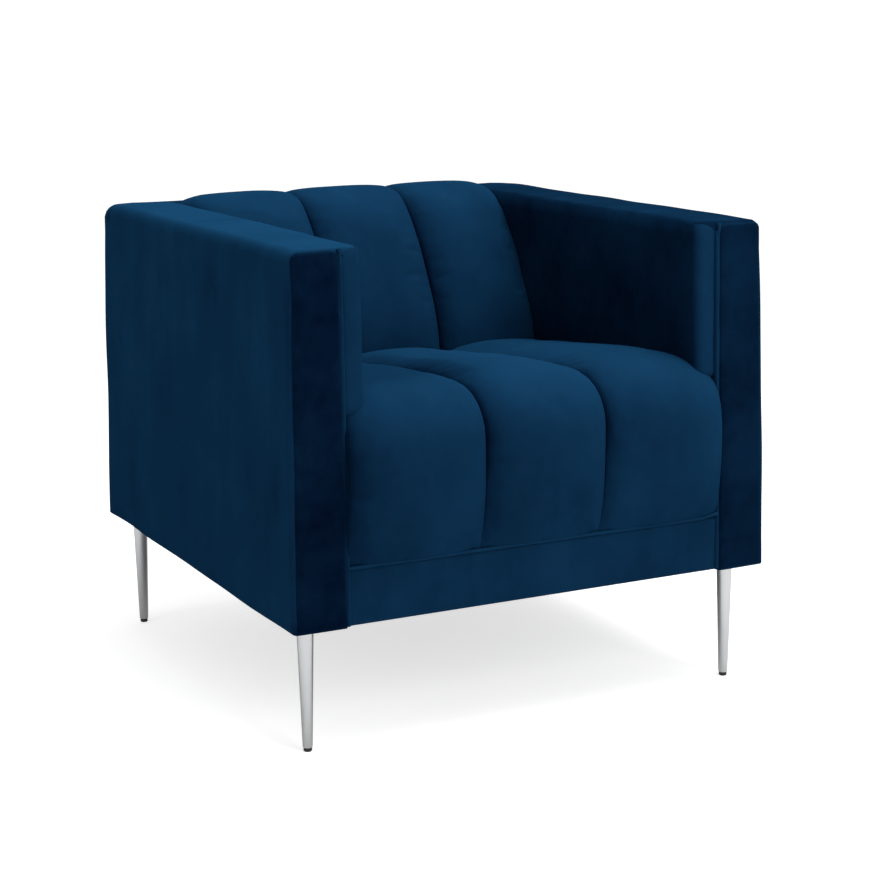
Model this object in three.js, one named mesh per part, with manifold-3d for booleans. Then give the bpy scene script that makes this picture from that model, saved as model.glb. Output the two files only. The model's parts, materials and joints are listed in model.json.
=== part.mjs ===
// Upholstered tuxedo armchair: channelled tight seat and back, arms level with the back, slim metal legs.
// Millimetres, +Z up, +X to the sitter's left, the front of the chair towards -Y.
// Inside each group y is measured back from the plane of the arm fronts; the last lines move the
// whole chair so that its origin is on the floor, under the middle of its overall box.
import * as THREE from "three";
import { mergeVertices } from "three/addons/utils/BufferGeometryUtils.js";
import Module from "manifold-3d";

const wasm = await Module();
wasm.setup();

// ---- driving dimensions -------------------------------------------------------------------------
const overallWidth = 740;
const bodyDepth = 772; // arm front to outside back
const armTopHeight = 680;
const bodyBottomHeight = 177; // underside of the upholstery above the floor
const gap = 0.3; // between pieces that touch

const armWidth = 80; // the facing on the front of an arm
const armPadThickness = 28; // the soft inside face of an arm
const armPadSink = 8; // the pads end this far below the seat's top

const seatHeight = 464; // top of the seat at its side edges, behind the nose
const seatBack = 480; // where the seat meets the back
const seatFall = 28; // the seat drops this much towards the back
const noseReach = 3; // the front of the seat swells this far past the arm fronts, at its sides

const frontPadding = 10; // velvet over wadding, outside the boards
const topPadding = 12;
const edgeRadius = 14; // outer top edge of the arms

const outerBoard = 3; // hardboard behind the outside covers
const innerBoard = 5; // plywood inside of the arm
const postDepth = 40;
const topRailHeight = 40;
const baseRailHeight = 70;
const baseRailThickness = 25;
const sideRailThickness = 30;
const cornerBlockDepth = 82;
const frameBottomLift = 6; // the covers hang this far below the rails

const suspensionDrop = 114; // from the seat's top down to the rails that carry the springs
const springRailHeight = 60;
const springCount = 4;
const springWire = 4;
const springAmplitude = 21;
const springPitch = 50; // two bars
const springCrown = 14;
const springInset = 14; // from the edge of a rail to the end bar of a spring
const clipSheet = 1.2;
const clipDepth = 9;
const clipRoom = 1.2; // the wire climbs this much inside a strip
const feltThickness = 3;
const deckInset = 4; // felt and foam start this far behind the front rail

const strutThickness = 25;
const strutWidth = 62;
const backFrameDrop = 36; // the back frame ends this far below the arm tops
const webbingWidth = 50;
const webbingThickness = 2;
const webbingInset = 4; // the upper strap ends this far below the back frame's top
const webbingSag = 10; // the lower strap hangs this far below half way

const channelRise = 9; // how far a channel stands out between its seams
const seatCrown = 18; // how much higher the two seams lie than the cushion's side edges
const backCrown = 22;
const seatSeamShare = 0.32; // where the seat's seams lie, as a share of its half width
const coverThickness = 2;
const paddingAtSeam = 5;
const backTopSink = 14; // side edges of the back's top, below the arm tops
const bandHeight = 78;
const bandRecess = 4;
const bandThickness = 8;
const weltRadius = 3;

const legInsetX = 36;
const legInsetY = 48;
const legTopRadius = 11.6;
const legBottomRadius = 6.8;
const legStudRadius = 4;
const legStudLength = 42;
const studClearance = 0.4;
const glideHeight = 5;
const glideFootRadius = 5.4;
const glideSpigotRadius = 3.6;
const glideSpigotLength = 10;
const glideTaper = 1.5; // height of the sloped rim above the foot's flat disc
const plateSize = 44;
const plateThickness = 2.6;
const plateScrewRadius = 2.2;
const plateScrewPitch = 32;
const dustThickness = 1.4;

// ---- places worked out from them ----------------------------------------------------------------
const halfWidth = overallWidth / 2;
const frameBottom = bodyBottomHeight + frameBottomLift;
const frameTop = armTopHeight - topPadding - gap;
const innerFace = halfWidth - armWidth; // inside edge of the facing
const sitFace = innerFace - armPadThickness; // sitter's side of the arm pad
const postOuter = halfWidth - frontPadding - outerBoard - 2 * gap;
const postInner = innerFace + innerBoard + 2 * gap;
const frameFront = frontPadding + gap;
const frameBack = bodyDepth - frontPadding - outerBoard - 2 * gap;
const baseRailTop = frameBottom + baseRailHeight;
const bandTop = bodyBottomHeight + bandHeight;
const frontRailY = bandRecess + bandThickness + gap;
const legX = halfWidth - legInsetX;
const legYs = { front: legInsetY, rear: bodyDepth - legInsetY };
const dustTop = frameBottom - gap;
const plateTop = dustTop - dustThickness - gap;
const legTop = plateTop - plateThickness - gap;
const springRailDepth = baseRailThickness + 5;
const armPadBottom = seatHeight - armPadSink;
const frontRailTop = seatHeight - suspensionDrop;
const backFrameTop = armTopHeight - backFrameDrop;
const wireZ = frontRailTop + 2 * gap + clipSheet + springWire / 2;
const clipTop = wireZ + springWire / 2 + gap + clipRoom + clipSheet;
const backCushionBottom = clipTop + springCrown;

// y at a share of the way from the seat's back edge to the outside of the back.
const backY = (share) => seatBack + share * (bodyDepth - seatBack);
const strutFoot = backY(0.07); // front edge of a back strut, at the frame's underside
const strutHead = backY(0.55); // and at its top
const springRailY = backY(0.22);

// ---- materials ----------------------------------------------------------------------------------
const material = (color, roughness, metalness = 0) =>
  new THREE.MeshStandardMaterial({ color, roughness, metalness });
const velvet = material(0x10365a, 0.9);
const foam = material(0xe8dca8, 1);
const fibre = material(0xf2f2ee, 1);
const wood = material(0xb98d5a, 0.75);
const board = material(0x8a6b48, 0.85);
const plywood = material(0xc9a878, 0.7);
const chrome = material(0xd8dadc, 0.16, 1);
const steel = material(0x8b8e92, 0.45, 1);
const plastic = material(0x1a1c20, 0.6);
const felt = material(0x7c7a74, 1);
const webbing = material(0x2b2b30, 0.95);
const dustCloth = material(0x151517, 1);

// ---- helpers ------------------------------------------------------------------------------------
const chair = new THREE.Group();

function add(name, geometry, look, parent = chair) {
  const mesh = new THREE.Mesh(geometry, look);
  mesh.name = name;
  parent.add(mesh);
  return mesh;
}

// A box between two corners, given as [low, high] along each axis.
function block([x0, x1], [y0, y1], [z0, z1]) {
  return new THREE.BoxGeometry(x1 - x0, y1 - y0, z1 - z0).translate(
    (x0 + x1) / 2,
    (y0 + y1) / 2,
    (z0 + z1) / 2,
  );
}

// An outline of [y, z] points, or a Shape in those axes, run across from x0 to x1.
function across(outline, x0, x1) {
  const shape = outline instanceof THREE.Shape
    ? outline
    : new THREE.Shape(outline.map(([y, z]) => new THREE.Vector2(y, z)));
  const geometry = new THREE.ExtrudeGeometry(shape, {
    depth: x1 - x0,
    bevelEnabled: false,
    curveSegments: 10,
  });
  const axes = new THREE.Matrix4().makeBasis(
    new THREE.Vector3(0, 1, 0),
    new THREE.Vector3(0, 0, 1),
    new THREE.Vector3(1, 0, 0),
  );
  return geometry.applyMatrix4(axes).translate(x0, 0, 0);
}

// A Shape in x and z, run back from y0 to y1.
function along(shape, y0, y1) {
  return new THREE.ExtrudeGeometry(shape, {
    depth: y1 - y0,
    bevelEnabled: false,
    curveSegments: 8,
  })
    .rotateX(Math.PI / 2)
    .translate(0, y1, 0);
}

// A Shape in x and y with its holes, standing from z0 to z1.
function upward(shape, z0, z1, curveSegments = 10) {
  return new THREE.ExtrudeGeometry(shape, {
    depth: z1 - z0,
    bevelEnabled: false,
    curveSegments,
  }).translate(0, 0, z0);
}

function rectangle([x0, x1], [y0, y1]) {
  return new THREE.Shape()
    .moveTo(x0, y0)
    .lineTo(x1, y0)
    .lineTo(x1, y1)
    .lineTo(x0, y1)
    .closePath();
}

function hole(shape, x, y, radius) {
  shape.holes.push(new THREE.Path().absarc(x, y, radius, 0, 2 * Math.PI, true));
}

// three.js geometry to a manifold-3d solid, and back.
function solid(geometry) {
  const bare = (geometry.index ? geometry.toNonIndexed() : geometry).clone();
  bare.deleteAttribute("normal");
  bare.deleteAttribute("uv");
  const merged = mergeVertices(bare, 1e-3);
  return new wasm.Manifold(
    new wasm.Mesh({
      numProp: 3,
      vertProperties: merged.attributes.position.array,
      triVerts: new Uint32Array(merged.index.array),
    }),
  );
}

function geometryOf(made) {
  const mesh = made.getMesh();
  const geometry = new THREE.BufferGeometry();
  geometry.setAttribute(
    "position",
    new THREE.BufferAttribute(new Float32Array(mesh.vertProperties), 3),
  );
  geometry.setIndex(new THREE.BufferAttribute(new Uint32Array(mesh.triVerts), 1));
  geometry.computeVertexNormals();
  return geometry;
}

const sides = [
  ["left", -1],
  ["right", 1],
];

// The same span on the left (side -1) or the right (side 1) of the chair.
const span = (side, a, b) => (side > 0 ? [a, b] : [-b, -a]);

// ---- legs ---------------------------------------------------------------------------------------
function legGeometry() {
  const foot = glideHeight + gap;
  const bore = glideSpigotRadius + gap;
  const boreTop = foot + glideSpigotLength + gap;
  const edge = 1;
  const profile = [
    [0, boreTop],
    [bore, boreTop],
    [bore, foot],
    [legBottomRadius - edge, foot],
    [legBottomRadius, foot + edge],
    [legTopRadius, legTop - edge],
    [legTopRadius - edge, legTop],
    [legStudRadius, legTop],
    [legStudRadius, legTop + legStudLength],
    [0, legTop + legStudLength],
  ];
  return lathe(profile, 24);
}

function glideGeometry() {
  const spigotTop = glideHeight + glideSpigotLength;
  const rim = legBottomRadius - 1;
  const profile = [
    [0, 0],
    [glideFootRadius, 0],
    [rim, glideTaper],
    [rim, glideHeight],
    [glideSpigotRadius, glideHeight],
    [glideSpigotRadius, spigotTop],
    [0, spigotTop],
  ];
  return lathe(profile, 24);
}

// A profile of [radius, height] points turned about the vertical axis.
function lathe(profile, segments) {
  const points = profile.map(([r, z]) => new THREE.Vector2(r, z));
  return new THREE.LatheGeometry(points, segments).rotateX(Math.PI / 2);
}

function plateGeometry() {
  const half = plateSize / 2;
  const shape = rectangle([-half, half], [-half, half]);
  hole(shape, 0, 0, legStudRadius + studClearance);
  for (const x of [-1, 1])
    for (const y of [-1, 1])
      hole(shape, (x * plateScrewPitch) / 2, (y * plateScrewPitch) / 2, plateScrewRadius);
  return upward(shape, plateTop - plateThickness, plateTop, 6);
}

function makeLegs() {
  for (const [end, y] of Object.entries(legYs))
    for (const [name, side] of sides) {
      const corner = new THREE.Group();
      corner.position.set(side * legX, y, 0);
      chair.add(corner);
      add(`leg_${end}_${name}`, legGeometry(), chrome, corner);
      add(`glide_${end}_${name}`, glideGeometry(), plastic, corner);
      add(`leg_plate_${end}_${name}`, plateGeometry(), steel, corner);
    }
}

// ---- base frame ---------------------------------------------------------------------------------
function cornerBlock(side, y0, y1, legY) {
  const [x0, x1] = span(side, postInner, postOuter);
  const shape = rectangle([x0, x1], [y0, y1]);
  hole(shape, side * legX, legY, legStudRadius + studClearance);
  return upward(shape, frameBottom, baseRailTop);
}

function makeBase() {
  const blockYs = {
    front: [frameFront, frameFront + cornerBlockDepth],
    rear: [frameBack - cornerBlockDepth, frameBack],
  };
  const railZ = [frameBottom, baseRailTop];
  const railX = [-innerFace, innerFace];
  for (const [name, side] of sides) {
    for (const [end, [y0, y1]] of Object.entries(blockYs))
      add(`corner_block_${end}_${name}`, cornerBlock(side, y0, y1, legYs[end]), wood);
    const y = [blockYs.front[1] + gap, blockYs.rear[0] - gap];
    const x = span(side, postInner, postInner + sideRailThickness);
    add(`side_rail_${name}`, block(x, y, railZ), wood);
  }
  const frontY = [frontRailY, frontRailY + baseRailThickness];
  add("front_rail", block(railX, frontY, [frameBottom, frontRailTop]), wood);
  add("rear_rail", block(railX, [frameBack - baseRailThickness, frameBack], railZ), wood);
  const reach = innerFace - strutThickness - gap;
  const springY = [springRailY, springRailY + springRailDepth];
  const springZ = [frontRailTop - springRailHeight, frontRailTop];
  add("spring_rail", block([-reach, reach], springY, springZ), wood);
}

// ---- arm frames ---------------------------------------------------------------------------------
function makeArmFrames() {
  const postZ = [baseRailTop + gap, frameTop - topRailHeight - gap];
  const boardY = [frameFront, frameBack];
  const boardZ = [frameBottom, frameTop];
  for (const [name, side] of sides) {
    const x = span(side, postInner, postOuter);
    add(`front_post_${name}`, block(x, [frameFront, frameFront + postDepth], postZ), wood);
    add(`rear_post_${name}`, block(x, [frameBack - postDepth, frameBack], postZ), wood);
    add(`arm_top_rail_${name}`, block(x, boardY, [frameTop - topRailHeight, frameTop]), wood);
    const inner = span(side, innerFace + gap, innerFace + gap + innerBoard);
    const outer = span(side, postOuter + gap, postOuter + gap + outerBoard);
    add(`inner_arm_board_${name}`, block(inner, boardY, boardZ), plywood);
    add(`outer_arm_board_${name}`, block(outer, boardY, boardZ), board);
  }
}

// ---- back frame ---------------------------------------------------------------------------------
// Front edge of the back struts at height z.
const strutSlope = (strutHead - strutFoot) / (backFrameTop - frameBottom);
const strutFront = (z) => strutFoot + strutSlope * (z - frameBottom);

function makeBackFrame() {
  const railFront = strutHead + strutWidth + gap;
  const strut = [
    [strutFoot, frameBottom],
    [strutFoot + strutWidth, frameBottom],
    [strutHead + strutWidth, backFrameTop],
    [strutHead, backFrameTop],
  ];
  for (const [name, side] of sides) {
    const [x0, x1] = span(side, innerFace - strutThickness, innerFace);
    add(`back_strut_${name}`, across(strut, x0, x1), wood);
  }
  const railZ = [backFrameTop - topRailHeight, backFrameTop];
  add("back_top_rail", block([-innerFace, innerFace], [railFront, frameBack], railZ), wood);
  const boardY = [frameBack + gap, frameBack + gap + outerBoard];
  const boardX = [-postOuter - gap - outerBoard, postOuter + gap + outerBoard];
  add("back_board", block(boardX, boardY, [frameBottom, backFrameTop]), board);
  const upper = backFrameTop - webbingWidth - webbingInset;
  const straps = { lower: (backCushionBottom + upper) / 2 - webbingSag, upper };
  for (const [name, z] of Object.entries(straps)) {
    const face = (height) => strutFront(height) - gap;
    const strap = [
      [face(z) - webbingThickness, z],
      [face(z), z],
      [face(z + webbingWidth), z + webbingWidth],
      [face(z + webbingWidth) - webbingThickness, z + webbingWidth],
    ];
    add(`back_webbing_${name}`, across(strap, -innerFace, innerFace), webbing);
  }
}

// ---- seat suspension ----------------------------------------------------------------------------
const springStart = frontRailY + springInset;
const springEnd = springRailY + springRailDepth - springInset;
const springMiddle = (springStart + springEnd) / 2;
const deckZ = (y) => {
  const share = (y - springMiddle) / ((springEnd - springStart) / 2);
  return wireZ + springCrown * (1 - share * share);
};

// A sinuous spring: bars across the seat joined by tight bends, bowed upwards along its length.
class SinuousCurve extends THREE.Curve {
  constructor(x) {
    super();
    this.x = x;
  }
  getPoint(t, target = new THREE.Vector3()) {
    const y = springStart + t * (springEnd - springStart);
    const turn = (2 * Math.PI * (y - springStart)) / springPitch;
    const swing = Math.tanh(2.2 * Math.cos(turn)) / Math.tanh(2.2);
    return target.set(this.x + springAmplitude * swing, y, deckZ(y));
  }
  getPointAt(t, target) {
    return this.getPoint(t, target);
  }
  getTangentAt(t, target) {
    return this.getTangent(t, target);
  }
}

function wireSection(radius, count = 5) {
  const points = [];
  for (let i = 0; i < count; i++) {
    const a = (2 * Math.PI * i) / count;
    points.push(new THREE.Vector2(radius * Math.cos(a), radius * Math.sin(a)));
  }
  return new THREE.Shape(points);
}

function makeSuspension() {
  const spacing = (2 * innerFace) / springCount;
  const bends = Math.round((springEnd - springStart) / springPitch);
  for (let i = 0; i < springCount; i++) {
    const x = (i - (springCount - 1) / 2) * spacing;
    const geometry = new THREE.ExtrudeGeometry(wireSection(springWire / 2), {
      steps: 8 * bends,
      bevelEnabled: false,
      extrudePath: new SinuousCurve(x),
    });
    add(`seat_spring_${i + 1}`, geometry, steel);
  }
  // Folded strips that hold the spring ends: a flange on the rail, a wall, a flange over the wire.
  const z0 = frontRailTop + gap;
  const z1 = clipTop - clipSheet;
  const strip = (y, way) => [
    [y, z0],
    [y + way * clipDepth, z0],
    [y + way * clipDepth, z0 + clipSheet],
    [y + way * clipSheet, z0 + clipSheet],
    [y + way * clipSheet, z1],
    [y + way * clipDepth, z1],
    [y + way * clipDepth, clipTop],
    [y, clipTop],
  ];
  const room = springWire / 2 + 2 * gap + clipSheet;
  const half = innerFace - strutThickness - 4 * gap;
  add("spring_clip_strip_front", across(strip(springStart - room, 1), -half, half), steel);
  add("spring_clip_strip_rear", across(strip(springEnd + room, -1), -half, half), steel);
  const top = (y) => deckZ(y) + springWire / 2 + gap;
  const ys = spread(frontRailY + baseRailThickness + deckInset, seatBack - gap, 10);
  const under = ys.map((y) => [y, top(y)]);
  const over = ys.map((y) => [y, top(y) + feltThickness]).reverse();
  add("seat_felt", across([...under, ...over], -innerFace + gap, innerFace - gap), felt);
}

// count values from a to b.
function spread(a, b, count) {
  return Array.from({ length: count }, (_, i) => a + ((b - a) * i) / (count - 1));
}

// ---- channelled upholstery ----------------------------------------------------------------------
// A circular arc from the shape's last point to (x1, y1) that stands out by rise.
function bulgeTo(shape, x1, y1, rise) {
  const { x: x0, y: y0 } = shape.currentPoint;
  const dx = x1 - x0;
  const dy = y1 - y0;
  const chord = Math.hypot(dx, dy);
  const radius = chord * chord / 8 / Math.abs(rise) + Math.abs(rise) / 2;
  const drop = radius - Math.abs(rise);
  const turn = Math.sign(rise);
  const cx = (x0 + x1) / 2 + (turn * dy * drop) / chord;
  const cy = (y0 + y1) / 2 - (turn * dx * drop) / chord;
  const from = Math.atan2(y0 - cy, x0 - cx);
  const to = Math.atan2(y1 - cy, x1 - cx);
  shape.absarc(cx, cy, radius, from, to, turn > 0);
}

// The channels' section across the chair: three arcs that meet at the seams, the seams on a crown.
// lift moves it along the surface's normal.
function channelSection({ half, crown, seamX }, lift) {
  const shape = new THREE.Shape().moveTo(-half, lift);
  bulgeTo(shape, -seamX, crown + lift, channelRise);
  bulgeTo(shape, seamX, crown + lift, channelRise);
  bulgeTo(shape, half, lift, channelRise);
  return shape;
}

// A skin of even thickness: the same arcs run back again below.
function coverSection(cushion) {
  const { half, crown, seamX } = cushion;
  const under = -coverThickness;
  const shape = channelSection(cushion, 0).lineTo(half, under);
  bulgeTo(shape, seamX, crown + under, -channelRise);
  bulgeTo(shape, -seamX, crown + under, -channelRise);
  bulgeTo(shape, -half, under, -channelRise);
  return shape.closePath();
}

function paddingSection(cushion) {
  const top = -coverThickness - gap;
  const under = top - paddingAtSeam;
  return channelSection(cushion, top)
    .lineTo(cushion.half, under)
    .lineTo(-cushion.half, under)
    .closePath();
}

// The cushion's side profile, [y, z] points, as a path. Out of the cushion is X cross its direction.
const pathOf = ({ profile }) =>
  new THREE.CatmullRomCurve3(
    profile.map(([y, z]) => new THREE.Vector3(0, y, z)),
    false,
    "centripetal",
  );

// A section swept along the cushion's path. The section's y axis points out of the cushion.
const swept = (cushion, section) =>
  solid(
    new THREE.ExtrudeGeometry(section, {
      steps: cushion.steps,
      bevelEnabled: false,
      curveSegments: 3,
      extrudePath: pathOf(cushion),
    }),
  );

// The foam's face, as [y, z] points just under the padding.
function foamFace(cushion) {
  const path = pathOf(cushion);
  const depth = coverThickness + paddingAtSeam + 2 * gap;
  const out = path.computeFrenetFrames(cushion.steps, false).binormals;
  return path
    .getSpacedPoints(cushion.steps)
    .map((point, i) => [point.y - depth * out[i].y, point.z - depth * out[i].z]);
}

// The three layers of a channelled cushion, each cut to the room it has.
function addCushion(name, cushion, foamBack, cutFoam, cutSkin = cutFoam) {
  const { half } = cushion;
  const foamSolid = solid(across([...foamFace(cushion), ...foamBack], -half, half));
  const padding = swept(cushion, paddingSection(cushion));
  add(`${name}_cover`, geometryOf(cutSkin(swept(cushion, coverSection(cushion)))), velvet);
  add(`${name}_channel_padding`, geometryOf(cutSkin(padding)), fibre);
  add(`${name}_foam`, geometryOf(cutFoam(foamSolid)), foam);
}

function makeSeat() {
  const half = innerFace - gap;
  const up = (share) => bandTop + share * (seatHeight - bandTop);
  // From the piping up the front, round the nose and back over the top, to behind the crease.
  const profile = [
    [6, up(-0.07)],
    [3, up(0.03)],
    [-0.4 * noseReach, up(0.2)],
    [-0.85 * noseReach, up(0.4)],
    [-noseReach, up(0.62)],
    [-0.2 * noseReach, up(0.8)],
    [20, up(0.92)],
    [62, up(0.98)],
    [0.3 * seatBack, seatHeight],
    [0.53 * seatBack, seatHeight - 0.3 * seatFall],
    [0.78 * seatBack, seatHeight - 0.7 * seatFall],
    [seatBack - 6, seatHeight - seatFall],
    [seatBack + 24, seatHeight - 1.2 * seatFall],
  ];
  const bottom = bandTop + 2 * weltRadius + gap;
  const room = solid(block([-half, half], [-100, seatBack - gap], [bottom, armTopHeight]));
  // Room beside the sitter for the arm pads, from a height up and from a distance back.
  const padRoom = (y, z) =>
    sides.map(([, side]) =>
      solid(block(span(side, sitFace - gap, halfWidth), [y, bodyDepth], [z, armTopHeight])),
    );
  const railBack = frontRailY + baseRailThickness + deckInset - gap;
  const railRoom = solid(block([-half - 1, half + 1], [frontRailY - gap, railBack], [0, clipTop + gap]));
  const cutBy = (taken) => (made) =>
    taken.reduce((rest, each) => rest.subtract(each), made.intersect(room));
  const cutFoam = cutBy([railRoom, ...padRoom(-100, armPadBottom - gap)]);
  // The skins end beside the pads; only the front runs on below them.
  const tuck = padRoom(frameFront, armPadBottom - 2 * seatFall);
  const cutSkin = cutBy([...tuck, ...padRoom(-100, armPadBottom - gap)]);
  const onFelt = (y) => deckZ(y) + springWire / 2 + 2 * gap + feltThickness;
  const foamBack = [
    ...spread(seatBack + 10, railBack, 10).map((y) => [y, onFelt(y)]),
    [railBack, bottom - 20],
  ];
  const seamX = seatSeamShare * half;
  const cushion = { half, crown: seatCrown, seamX, profile, steps: 26 };
  addCushion("seat", cushion, foamBack, cutFoam, cutSkin);
}

function makeBackCushion() {
  const half = sitFace - gap;
  const seatEdge = seatHeight - seatFall;
  const up = (share) => seatEdge + share * (armTopHeight - backTopSink - seatEdge);
  // From beside the seat's back edge, up the raked face, over the top and back to the outside cover.
  const profile = [
    [backY(0.04), up(-0.55)],
    [backY(0.035), up(-0.25)],
    [backY(0.04), up(0)],
    [backY(0.07), up(0.16)],
    [backY(0.14), up(0.34)],
    [backY(0.22), up(0.53)],
    [backY(0.31), up(0.73)],
    [backY(0.39), up(0.88)],
    [backY(0.49), up(0.97)],
    [backY(0.62), up(1)],
    [backY(0.81), up(1)],
    [backY(1.06), up(0.99)],
  ];
  const back = bodyDepth - frontPadding - gap;
  const bottom = backCushionBottom;
  const room = solid(block([-half, half], [seatBack + gap, back], [bottom, armTopHeight + 60]));
  const behind = webbingThickness + 2 * gap;
  const foamBack = [
    [back + 10, backFrameTop + gap],
    [strutFront(backFrameTop) - behind, backFrameTop + gap],
    [strutFront(bottom) - behind, bottom],
    [strutFront(bottom) - behind, bottom - 20],
  ];
  const cushion = { half, crown: backCrown, seamX: half / 3, profile, steps: 26 };
  addCushion("back", cushion, foamBack, (made) => made.intersect(room));
}

// ---- plain covers -------------------------------------------------------------------------------
// The outside of an arm and its top, in one piece with a rounded outer edge.
function armCoverSection(side) {
  const under = armTopHeight - topPadding;
  const inside = side * (halfWidth - frontPadding);
  const outside = side * halfWidth;
  const centre = side * (halfWidth - edgeRadius);
  const shape = new THREE.Shape().moveTo(outside, bodyBottomHeight);
  const start = side > 0 ? 0 : Math.PI;
  shape.absarc(centre, armTopHeight - edgeRadius, edgeRadius, start, Math.PI / 2, side < 0);
  return shape
    .lineTo(side * sitFace, armTopHeight)
    .lineTo(side * sitFace, under)
    .lineTo(inside, under)
    .lineTo(inside, bodyBottomHeight)
    .closePath();
}

function makeCovers() {
  const bodyZ = [bodyBottomHeight, armTopHeight];
  for (const [name, side] of sides) {
    const wrap = along(armCoverSection(side), frontPadding + gap, bodyDepth - frontPadding - gap);
    add(`arm_cover_${name}`, wrap, velvet);
    const facing = span(side, innerFace, halfWidth);
    add(`arm_facing_${name}`, block(facing, [0, frontPadding], bodyZ), velvet);
    const rear = webbingThickness + 3 * gap;
    const padFront = frontPadding + gap;
    const pad = [
      [padFront, armPadBottom],
      [strutFront(armPadBottom) - rear, armPadBottom],
      [strutFront(backFrameTop) - rear, backFrameTop],
      [strutFront(backFrameTop) - rear, frameTop],
      [padFront, frameTop],
    ];
    const [x0, x1] = span(side, sitFace, innerFace);
    add(`arm_pad_${name}`, across(pad, x0, x1), velvet);
  }
  const outsideY = [bodyDepth - frontPadding, bodyDepth];
  add("outside_back_cover", block([-halfWidth, halfWidth], outsideY, bodyZ), velvet);
  const half = innerFace - gap;
  const bandY = [bandRecess, bandRecess + bandThickness];
  add("front_band", block([-half, half], bandY, [bodyBottomHeight, bandTop]), velvet);
  const welt = across(weltOutline(), -half, half);
  add("seat_piping", welt, velvet);
  const edge = postOuter;
  const dust = rectangle([-edge, edge], [frontRailY, frameBack]);
  for (const y of Object.values(legYs))
    for (const x of [-legX, legX]) hole(dust, x, y, legStudRadius + studClearance);
  add("dust_cover", upward(dust, dustTop - dustThickness, dustTop), dustCloth);
}

function weltOutline() {
  const y = bandRecess + weltRadius;
  return new THREE.Shape().absarc(y, bandTop + weltRadius, weltRadius - gap, 0, 2 * Math.PI);
}

makeLegs();
makeBase();
makeArmFrames();
makeBackFrame();
makeSuspension();
makeSeat();
makeBackCushion();
makeCovers();

// The origin goes to the floor, under the middle of the overall box.
const overall = new THREE.Box3().setFromObject(chair, true);
chair.position.y = -(overall.min.y + overall.max.y) / 2;

export default chair;
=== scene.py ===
# %% [markdown]
# # Channelled velvet armchair
# The chair is a wooden case with soft covers pulled over it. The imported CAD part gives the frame,
# the springs and the legs, and stays where it is. The covers could be textures on those plain
# solids, but velvet over foam has crowned faces, sunk seams and rolled edges that only a real
# surface shows. So every soft surface is built here, around the box of its CAD node.

import json
import math

import bmesh
import bpy
import numpy as np
from mathutils import Matrix, Vector, noise

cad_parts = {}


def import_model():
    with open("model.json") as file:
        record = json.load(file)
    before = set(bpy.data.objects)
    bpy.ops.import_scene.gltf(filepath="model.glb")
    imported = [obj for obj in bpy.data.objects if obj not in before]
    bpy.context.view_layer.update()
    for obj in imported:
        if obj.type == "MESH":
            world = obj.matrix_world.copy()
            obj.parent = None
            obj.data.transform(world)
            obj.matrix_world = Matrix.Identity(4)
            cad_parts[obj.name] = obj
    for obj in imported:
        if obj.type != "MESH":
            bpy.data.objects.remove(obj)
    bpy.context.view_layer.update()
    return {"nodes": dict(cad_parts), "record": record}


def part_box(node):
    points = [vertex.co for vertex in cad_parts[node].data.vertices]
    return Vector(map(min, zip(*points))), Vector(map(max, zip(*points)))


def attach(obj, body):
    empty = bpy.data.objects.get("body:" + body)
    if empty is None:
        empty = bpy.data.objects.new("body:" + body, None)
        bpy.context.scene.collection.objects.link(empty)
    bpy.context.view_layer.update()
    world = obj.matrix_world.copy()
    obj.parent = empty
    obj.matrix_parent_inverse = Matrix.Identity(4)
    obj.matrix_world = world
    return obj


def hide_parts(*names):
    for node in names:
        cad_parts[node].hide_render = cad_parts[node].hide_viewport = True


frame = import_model()

# %% [markdown]
# Sizes could be typed in again, but they would go wrong with the first change of the design. So
# they come from the boxes of the CAD nodes, and a piece always fits the solid it stands for. The
# front of the chair looks along -Y. All the lengths below are in metres.

# %% Sizes taken from the CAD
facing_lo, facing_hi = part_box("arm_facing_right")
pad_lo, pad_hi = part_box("arm_pad_right")
band_lo, band_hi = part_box("front_band")
seat_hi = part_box("seat_cover")[1]
outside_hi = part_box("outside_back_cover")[1]

FRONT = facing_lo.y  # plane of the arm fronts
REAR = outside_hi.y
BOTTOM = facing_lo.z
TOP = facing_hi.z
WIDE = facing_hi.x  # half the overall width
INNER = facing_lo.x  # sitter's side of the arm fronts
SIT = pad_lo.x  # sitter's side of the arm pads
PAD_FACE = SIT - 0.005  # and of their velvet, which the wadding fills out
CREASE = seat_hi.y  # where seat and back meet
SIDES = {"left": -1, "right": 1}
NEAR = 0.001  # a point this close to a plane counts as on it
print("arm fronts at", round(FRONT, 4), "rear at", round(REAR, 4), "arms up to", round(TOP, 4))

# %% [markdown]
# ## Velvet
# Velvet is a dense cut pile. Seen straight on it swallows light and looks dark; towards a rolled
# edge the sides of the fibres catch the light. Hair strands would show this truly, but they need
# hours of rendering and can't be exported. A shader that mixes a dark and a light blue paints it
# into the base colour with a few nodes: a painted sheen where a face is seen at a slant, and
# painted light and shade by the way a face points. These short helpers make and join such nodes.

# %% Node helpers
def new_material(name):
    material = bpy.data.materials.new(name)
    material.use_nodes = True
    tree = material.node_tree
    shader = tree.nodes["Principled BSDF"]
    return material, tree, shader


def node(tree, kind, **settings):
    made = tree.nodes.new(kind)
    for key, value in settings.items():
        if hasattr(made, key):
            setattr(made, key, value)
        else:
            made.inputs[key.replace("_", " ")].default_value = value
    return made


def math_node(tree, operation, a, b):
    made = tree.nodes.new("ShaderNodeMath")
    made.operation = operation
    for socket, value in zip(made.inputs, (a, b)):
        if isinstance(value, (int, float)):
            socket.default_value = value
        else:
            tree.links.new(value, socket)
    return made.outputs[0]


def mix_colours(tree, factor, dark, light):
    made = tree.nodes.new("ShaderNodeMix")
    made.data_type = "RGBA"
    tree.links.new(factor, made.inputs[0])
    made.inputs[6].default_value = (*dark, 1)
    made.inputs[7].default_value = (*light, 1)
    return made.outputs[2]


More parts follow.
